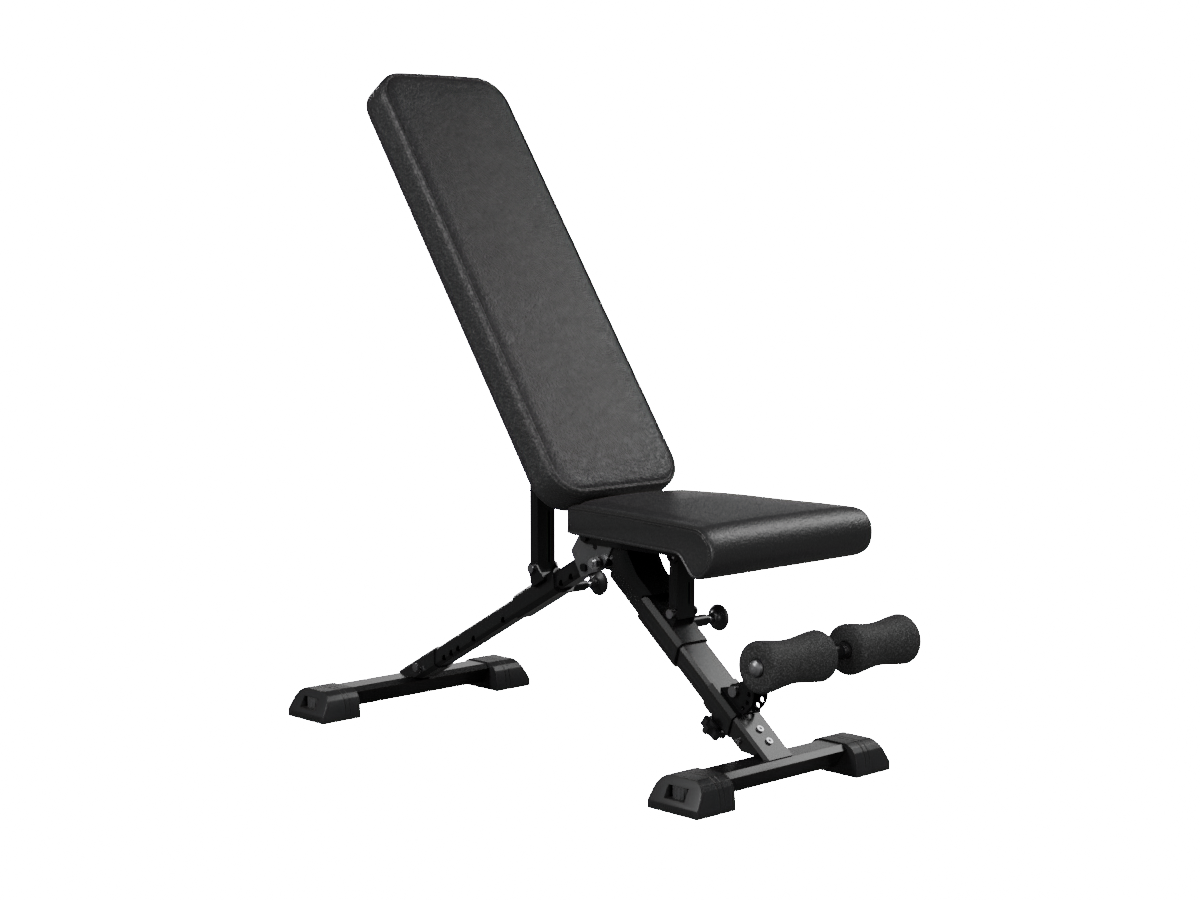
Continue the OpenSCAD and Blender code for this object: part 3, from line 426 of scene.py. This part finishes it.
def buildSeatPad(pad):
    base = seatProfile(pad)
    area = sum(a.x * b.y - b.x * a.y for a, b in zip(base, base[1:] + base[:1]))
    hand = -1 if area > 0 else 1

    def ring(inset, edge, side):
        pts = insetLoop(base, hand * inset)
        out = []
        for p in pts:
            trim = max(0, pad["front"] + pad["noseCorner"] - p.x) / pad["noseCorner"]
            half = seatHalf(pad, p.x) - edge - 5 * mm * trim ** 2
            sag = noise.noise(Vector((p.x * 12, side * half * 12, p.y * 12))) * 0.5 * mm
            out.append(Vector((side * half, p.x, p.y + sag)))
        return out

    # inset and edge distance, from the middle of a side panel out over its seam to the top
    edge = [(9.5, 1.2), (8.2, 1.0), (7.4, 1.6), (6.4, 1.4), (5.2, 0.2), (3.9, 0.0), (2.8, 0.7),
            (2.1, 1.8), (1.9, 2.8), (1.4, 4.4), (0.8, 7.5), (0.4, 11), (0.1, 16), (0, 24)]
    rings = [ring(i * mm, e * mm, -1) for i, e in edge]
    # across the cushion, from one side's last ring to the other's
    left, right = (ring(0, edge[-1][1] * mm, side) for side in (-1, 1))
    across = 24
    for k in range(1, across):
        u = k / across
        row = []
        for a, b in zip(left, right):
            p = a.lerp(b, u)
            rise = min(1, max(0, (a.z - pad["top"] + pad["nose"]) / pad["nose"]))
            # domed over the back half, and flat again by the nose
            back = min(1, 0.6 + (pad["rear"] - p.y) / (60 * mm))
            back *= min(1, max(0, (p.y - pad["front"] - 20 * mm) / (200 * mm)))
            p.z += rise * (2 * mm + pad["dome"] * back) * math.sin(math.pi * u) ** 0.4
            row.append(p)
        rings.append(row)
    rings += [ring(i * mm, e * mm, 1) for i, e in reversed(edge)]
    bm = bmesh.new()
    loft(bm, rings)
    bmesh.ops.triangulate(bm, faces=[f for f in bm.faces if len(f.verts) > 4])
    mesh = meshFrom(bm, "seatPad")
    obj = newObject("seatPad", mesh, "seat", leatherSeat)
    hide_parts("seat_cushion")
    return obj


buildSeatPad(seatPad)
print("stage: seat pad")

# ---- foam rollers ----
roller = {"gap": 56 * mm, "length": 140.6 * mm, "endR": 39.5 * mm, "waistR": 33.5 * mm, "boreR": 12.8 * mm,
          "lip": 8 * mm}


def buildRoller(spec, side, node, body):
    centre = jointAt[body + "_spin"].copy()
    centre.x = 0
    start, length, lip = spec["gap"] / 2, spec["length"], spec["lip"]
    end = start + length
    pts = [(start + 9 * mm, spec["boreR"]), (start + 1.5 * mm, spec["boreR"] + 0.2 * mm),
           (start + 0.2 * mm, spec["boreR"] + 1.6 * mm), (start, spec["boreR"] + 5 * mm)]
    for k in range(0, 9):
        a = math.radians(90 * k / 8)
        pts.append((start + lip * (1 - math.cos(a)), spec["endR"] - lip + lip * math.sin(a)))
    for k in range(1, 24):
        u = k / 24
        dip = (spec["endR"] - spec["waistR"]) * math.sin(math.pi * u) ** 1.5
        pts.append((start + lip + (length - 2 * lip) * u, spec["endR"] - dip))
    for k in range(0, 9):
        a = math.radians(90 * k / 8)
        pts.append((end - lip + lip * math.sin(a), spec["endR"] - lip + lip * math.cos(a)))
    pts += [(end, spec["boreR"] + 5 * mm), (end - 0.2 * mm, spec["boreR"] + 1.6 * mm),
            (end - 1.5 * mm, spec["boreR"] + 0.2 * mm), (end - 9 * mm, spec["boreR"])]
    bm = bmesh.new()
    lathe(bm, pts, centre, (side, 0, 0), 96)
    # close the bore wall, so that the foam is a solid ring
    edges = [e for e in bm.edges if e.is_boundary]
    bmesh.ops.bridge_loops(bm, edges=edges)
    obj = newObject(body + "Foam", meshFrom(bm, body + "Foam"), body, foamBlack)
    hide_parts(node)
    return obj


buildRoller(roller, -1, "roller_foam_right", "roller_right")
buildRoller(roller, 1, "roller_foam_left", "roller_left")
print("stage: foam rollers")

# ---- end caps ----
cap = {"length": 83 * mm, "base": 52 * mm, "top": 28.5 * mm, "height": 52 * mm, "slope": 21 * mm,
       "grooves": [50 * mm, 60 * mm], "grooveDeep": 0.9 * mm, "bevel": 3.2 * mm,
       "window": (42 * mm, 20 * mm, 39 * mm)}


def buildCap(spec, node, body):
    lo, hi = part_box(node)
    side = 1 if (lo[0] + hi[0]) > 0 else -1
    outer = hi[0] if side > 0 else lo[0]
    mid = (lo[1] + hi[1]) / 2

    def at(u, v, w):
        return Vector((outer - side * u, mid + v, w))

    b, t, h, s, n = spec["base"], spec["top"], spec["height"], spec["slope"], spec["length"]
    # half width at each height, and how far the outer face has sloped in by then
    rise = [(0, b, 0), (0, b, 13 * mm), (2 * mm, b - 0.4 * mm, 15 * mm), (9 * mm, b - 1.8 * mm, 28 * mm),
            (14 * mm, b - 5 * mm, 38 * mm), (18 * mm, b - 11.5 * mm, 46 * mm),
            (20.2 * mm, t + 4.5 * mm, h - 1.6 * mm), (s, t, h)]
    half = rise + [(n, v, w) for u, v, w in rise]
    bm = bmesh.new()
    for u, v, w in half:
        bm.verts.new(at(u, v, w))
        bm.verts.new(at(u, -v, w))
    bmesh.ops.convex_hull(bm, input=bm.verts)
    bmesh.ops.dissolve_limit(bm, angle_limit=math.radians(2), verts=bm.verts, edges=bm.edges)
    sharp = [e for e in bm.edges if len(e.link_faces) == 2 and e.calc_face_angle() > math.radians(14)
             and (e.verts[0].co.z > 1 * mm or e.verts[1].co.z > 1 * mm)]
    bmesh.ops.bevel(bm, geom=sharp, offset=spec["bevel"], segments=4, profile=0.6, affect="EDGES",
                    clamp_overlap=True)
    for g in spec["grooves"]:
        for step in (-0.9, -0.35, 0.35, 0.9):
            where = at(g + step * mm, 0, 0)
            geom = bm.verts[:] + bm.edges[:] + bm.faces[:]
            bmesh.ops.bisect_plane(bm, geom=geom, plane_co=where, plane_no=(1, 0, 0))
        for v in bm.verts:
            u = side * (outer - v.co.x)
            if abs(u - g) < 0.5 * mm and v.co.z > 0.5 * mm:
                away = Vector((0, v.co.y - mid, v.co.z - 18 * mm))
                v.co -= away.normalized() * spec["grooveDeep"]
    mesh = meshFrom(bm, node + "Shell")
    obj = newObject(node + "Shell", mesh, body, plasticBlack)
    cutter = bmesh.new()
    bmesh.ops.create_cube(cutter, size=1)
    for v in cutter.verts:
        wide, low, high = spec["window"]
        v.co = at(25 * mm + v.co.x * 54 * mm, v.co.y * wide, (low + high) / 2 + v.co.z * (high - low))
    cutMesh = meshFrom(cutter, "windowCut")
    cutObject = bpy.data.objects.new("windowCut", cutMesh)
    bpy.context.scene.collection.objects.link(cutObject)
    mod = obj.modifiers.new("window", "BOOLEAN")
    mod.operation = "DIFFERENCE"
    mod.solver = "EXACT"
    mod.object = cutObject
    bakeModifiers(obj)
    bpy.data.objects.remove(cutObject)
    smoothByAngle(obj.data, 28)
    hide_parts(node)
    return obj


capNodes = (("front_cap_right", "front_frame"), ("front_cap_left", "front_frame"),
            ("rear_cap_right", "rear_leg"), ("rear_cap_left", "rear_leg"))
for node, body in capNodes:
    buildCap(cap, node, body)
print("stage: end caps")

# ---- knobs of the locking pins ----
knob = {"r": 23 * mm, "profile": [(0, 0.33), (0, 0.45), (6, 0.43), (10, 0.5), (12.5, 0.76), (14.5, 0.93),
                                   (17, 1.0), (20, 0.985), (23, 0.86), (25, 0.62), (26, 0.3), (26.2, 0)]}


def buildKnob(spec, node, body):
    lo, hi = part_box(node)
    centre = Vector((lo[0], (lo[1] + hi[1]) / 2, (lo[2] + hi[2]) / 2))
    bm = bmesh.new()
    lathe(bm, [(a * mm, r * spec["r"]) for a, r in spec["profile"]], centre, (1, 0, 0), 56)
    edges = [e for e in bm.edges if e.is_boundary]
    bmesh.ops.holes_fill(bm, edges=edges)
    obj = newObject(node + "Turned", meshFrom(bm, node + "Turned"), body, plasticBlack)
    mod = obj.modifiers.new("smooth", "SUBSURF")
    mod.levels = mod.render_levels = 1
    bakeModifiers(obj)
    obj.data.polygons.foreach_set("use_smooth", [True] * len(obj.data.polygons))
    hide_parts(node)


buildKnob(knob, "seat_pin_knob", "seat_lock")
buildKnob(knob, "rear_pin_knob", "rear_lock")
print("stage: pin knobs")

# ---- repeated small pieces, made with Geometry Nodes ----
def startTree(name, sockets):
    tree = bpy.data.node_groups.new(name, "GeometryNodeTree")
    tree.interface.new_socket(name="Geometry", in_out="INPUT", socket_type="NodeSocketGeometry")
    tree.interface.new_socket(name="Geometry", in_out="OUTPUT", socket_type="NodeSocketGeometry")
    for label, kind in sockets:
        tree.interface.new_socket(name=label, in_out="INPUT", socket_type="NodeSocket" + kind)
    return tree, tree.nodes.new("NodeGroupInput"), tree.nodes.new("NodeGroupOutput")


def endTree(tree, source, goal, instances):
    real = tree.nodes.new("GeometryNodeRealizeInstances")
    paint = tree.nodes.new("GeometryNodeSetMaterial")
    tree.links.new(instances, real.inputs["Geometry"])
    tree.links.new(real.outputs["Geometry"], paint.inputs["Geometry"])
    tree.links.new(source.outputs["Material"], paint.inputs["Material"])
    tree.links.new(paint.outputs["Geometry"], goal.inputs["Geometry"])


def ribTree():
    tree, source, goal = startTree("ribRow", [("Count", "Int"), ("Start", "Vector"), ("Step", "Vector"),
                                              ("Size", "Vector"), ("Material", "Material")])
    line = tree.nodes.new("GeometryNodeMeshLine")
    line.mode = "OFFSET"
    box = tree.nodes.new("GeometryNodeMeshCube")
    spread = tree.nodes.new("GeometryNodeInstanceOnPoints")
    tree.links.new(source.outputs["Count"], line.inputs["Count"])
    tree.links.new(source.outputs["Start"], line.inputs["Start Location"])
    tree.links.new(source.outputs["Step"], line.inputs["Offset"])
    tree.links.new(source.outputs["Size"], box.inputs["Size"])
    tree.links.new(line.outputs["Mesh"], spread.inputs["Points"])
    tree.links.new(box.outputs["Mesh"], spread.inputs["Instance"])
    endTree(tree, source, goal, spread.outputs["Instances"])
    return tree


def stitchTree():
    tree, source, goal = startTree("stitchLoop", [("Pitch", "Float"), ("Length", "Float"), ("Thick", "Float"),
                                                  ("Seed", "Int"), ("Material", "Material")])
    curve = tree.nodes.new("GeometryNodeMeshToCurve")
    pace = tree.nodes.new("GeometryNodeResampleCurve")
    pace.mode = "LENGTH"
    way = tree.nodes.new("GeometryNodeInputTangent")
    turn = tree.nodes.new("FunctionNodeAlignRotationToVector")
    turn.axis = "X"
    thread = tree.nodes.new("GeometryNodeMeshUVSphere")
    thread.inputs["Segments"].default_value = 8
    thread.inputs["Rings"].default_value = 6
    thread.inputs["Radius"].default_value = 0.5
    vary = tree.nodes.new("FunctionNodeRandomValue")
    vary.data_type = "FLOAT"
    vary.inputs[2].default_value = 0.9
    vary.inputs[3].default_value = 1.1
    long = tree.nodes.new("ShaderNodeMath")
    long.operation = "MULTIPLY"
    size = tree.nodes.new("ShaderNodeCombineXYZ")
    spread = tree.nodes.new("GeometryNodeInstanceOnPoints")
    tree.links.new(source.outputs["Geometry"], curve.inputs["Mesh"])
    tree.links.new(curve.outputs["Curve"], pace.inputs["Curve"])
    tree.links.new(source.outputs["Pitch"], pace.inputs["Length"])
    tree.links.new(way.outputs["Tangent"], turn.inputs["Vector"])
    tree.links.new(source.outputs["Seed"], vary.inputs["Seed"])
    tree.links.new(vary.outputs[1], long.inputs[0])
    tree.links.new(source.outputs["Length"], long.inputs[1])
    tree.links.new(long.outputs[0], size.inputs["X"])
    for side in "YZ":
        tree.links.new(source.outputs["Thick"], size.inputs[side])
    tree.links.new(pace.outputs["Curve"], spread.inputs["Points"])
    tree.links.new(thread.outputs["Mesh"], spread.inputs["Instance"])
    tree.links.new(turn.outputs["Rotation"], spread.inputs["Rotation"])
    tree.links.new(size.outputs["Vector"], spread.inputs["Scale"])
    endTree(tree, source, goal, spread.outputs["Instances"])
    return tree


def grow(obj, tree, values):
    mod = obj.modifiers.new("repeat", "NODES")
    mod.node_group = tree
    for item in tree.interface.items_tree:
        if item.in_out == "INPUT" and item.name in values:
            mod[item.identifier] = values[item.name]
    bakeModifiers(obj)
    obj.data.materials.clear()
    obj.data.materials.append(values["Material"])
    obj.data.polygons.foreach_set("material_index", [0] * len(obj.data.polygons))


def edgeLoop(name, points, body):
    mesh = bpy.data.meshes.new(name)
    mesh.from_pydata(points, [(i, (i + 1) % len(points)) for i in range(len(points))], [])
    return newObject(name, mesh, body)


ribRow, stitchLoop = ribTree(), stitchTree()
capRibs = {"count": 22, "pitch": 4 * mm, "size": (0.9 * mm, 1.6 * mm, 9 * mm), "height": 6.2 * mm}
for node, body in capNodes:
    lo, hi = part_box(node)
    side = 1 if lo[0] + hi[0] > 0 else -1
    first = (lo[1] + hi[1]) / 2 - capRibs["pitch"] * (capRibs["count"] - 1) / 2
    row = newObject(node + "Ribs", bpy.data.meshes.new(node + "Ribs"), body)
    grow(row, ribRow, {"Count": capRibs["count"], "Step": (0, capRibs["pitch"], 0),
                       "Start": ((hi[0] if side > 0 else lo[0]), first, capRibs["height"]),
                       "Size": capRibs["size"], "Material": plasticBlack})

stitch = {"pitch": 5 * mm, "length": 3.6 * mm, "thick": 0.8 * mm, "inset": 7.6 * mm, "lift": 59.3 * mm}
place = padPlace(backPad, jointAt["recline"])
seam = []
for p in outline(backPad["half"] - stitch["inset"], backPad["low"] + stitch["inset"],
                 backPad["high"] - stitch["inset"], backPad["corner"] - stitch["inset"]):
    rise = backPad["arch"] * (1 - (p.x / backPad["half"]) ** 2) * max(0, (p.y - 0.6) / 0.3)
    seam.append(place(p.x, -backPad["back"] - stitch["lift"], p.y + rise))
stitches = edgeLoop("backStitches", seam, "backrest")
grow(stitches, stitchLoop, {"Pitch": stitch["pitch"], "Length": stitch["length"], "Thick": stitch["thick"],
                            "Seed": 7, "Material": threadBlack})
print("stage: ribs and stitches")

# ---- floor, lights and camera ----
studio = {"floor": 0.15, "sky": 0.13, "backdrop": 60.0,
          "key": 30, "fill": 62, "side": 45, "edge": 80, "behind": 10}


def cameraOnly(tree, plain, bright):
    # what the camera sees directly is bright, and what lights the object stays plain
    path = tree.nodes.new("ShaderNodeLightPath")
    mix = tree.nodes.new("ShaderNodeMixShader")
    tree.links.new(path.outputs["Is Camera Ray"], mix.inputs["Fac"])
    tree.links.new(plain, mix.inputs[1])
    tree.links.new(bright, mix.inputs[2])
    return mix.outputs[0]


def makeFloor():
    bm = bmesh.new()
    bmesh.ops.create_grid(bm, x_segments=1, y_segments=1, size=40)
    mesh = bpy.data.meshes.new("floor")
    bm.to_mesh(mesh)
    bm.free()
    obj = bpy.data.objects.new("floor", mesh)
    bpy.context.scene.collection.objects.link(obj)
    mat, shader = startMaterial("floorPale", (studio["floor"],) * 3, 0.9, specular=0.1)
    tree = mat.node_tree
    glow = tree.nodes.new("ShaderNodeEmission")
    glow.inputs["Strength"].default_value = studio["backdrop"]
    both = tree.nodes.new("ShaderNodeAddShader")
    tree.links.new(shader.outputs[0], both.inputs[0])
    tree.links.new(glow.outputs[0], both.inputs[1])
    out = tree.nodes["Material Output"]
    tree.links.new(cameraOnly(tree, shader.outputs[0], both.outputs[0]), out.inputs["Surface"])
    mesh.materials.append(mat)
    obj.location.z = -0.0005
    return obj


def makeSky():
    world = bpy.data.worlds.new("studio")
    bpy.context.scene.world = world
    world.use_nodes = True
    tree = world.node_tree
    plain = tree.nodes["Background"]
    plain.inputs["Color"].default_value = (1, 1, 1, 1)
    plain.inputs["Strength"].default_value = studio["sky"]
    bright = tree.nodes.new("ShaderNodeBackground")
    bright.inputs["Color"].default_value = (1, 1, 1, 1)
    bright.inputs["Strength"].default_value = studio["backdrop"]
    out = tree.nodes["World Output"]
    tree.links.new(cameraOnly(tree, plain.outputs[0], bright.outputs[0]), out.inputs["Surface"])


def areaLight(name, power, size, place, aim):
    data = bpy.data.lights.new(name, "AREA")
    data.energy = power
    data.shape = "RECTANGLE"
    data.size, data.size_y = size
    obj = bpy.data.objects.new(name, data)
    bpy.context.scene.collection.objects.link(obj)
    obj.location = place
    obj.rotation_euler = (Vector(aim) - Vector(place)).to_track_quat("-Z", "Y").to_euler()
    return obj


makeFloor()
makeSky()
areaLight("key", studio["key"], (1.1, 1.1), (1.8, -0.9, 1.95), (0, -0.1, 0.45))
areaLight("fill", studio["fill"], (1.6, 1.6), (-1.0, -3.2, 1.3), (0, 0, 0.4))
areaLight("side", studio["side"], (0.7, 0.9), (1.2, 4.0, 1.2), (0, 0, 0.3))
areaLight("behind", studio["behind"], (2.6, 1.0), (3.3, 3.2, 0.75), (0, 0, 0.4))
areaLight("edge", studio["edge"], (0.4, 2.4), (-2.8, 0.6, 2.1), (0, 0, 0.3))

view = {"place": (-2.5102, -2.6436, 0.8669), "yaw": 43.553, "pitch": 5.775, "roll": -0.064, "lens": 66.41}
camera = bpy.data.objects.new("camera", bpy.data.cameras.new("camera"))
bpy.context.scene.collection.objects.link(camera)
camera.location = view["place"]
yaw, pitch = math.radians(view["yaw"]), math.radians(view["pitch"])
look = Vector((math.sin(yaw) * math.cos(pitch), math.cos(yaw) * math.cos(pitch), -math.sin(pitch)))
turn = look.to_track_quat("-Z", "Y") @ Matrix.Rotation(math.radians(view["roll"]), 3, "Z").to_quaternion()
camera.rotation_euler = turn.to_euler()
camera.data.lens = view["lens"]
camera.data.sensor_width = 36
camera.data.sensor_fit = "HORIZONTAL"
bpy.context.scene.camera = camera
print("stage: floor, lights and camera")
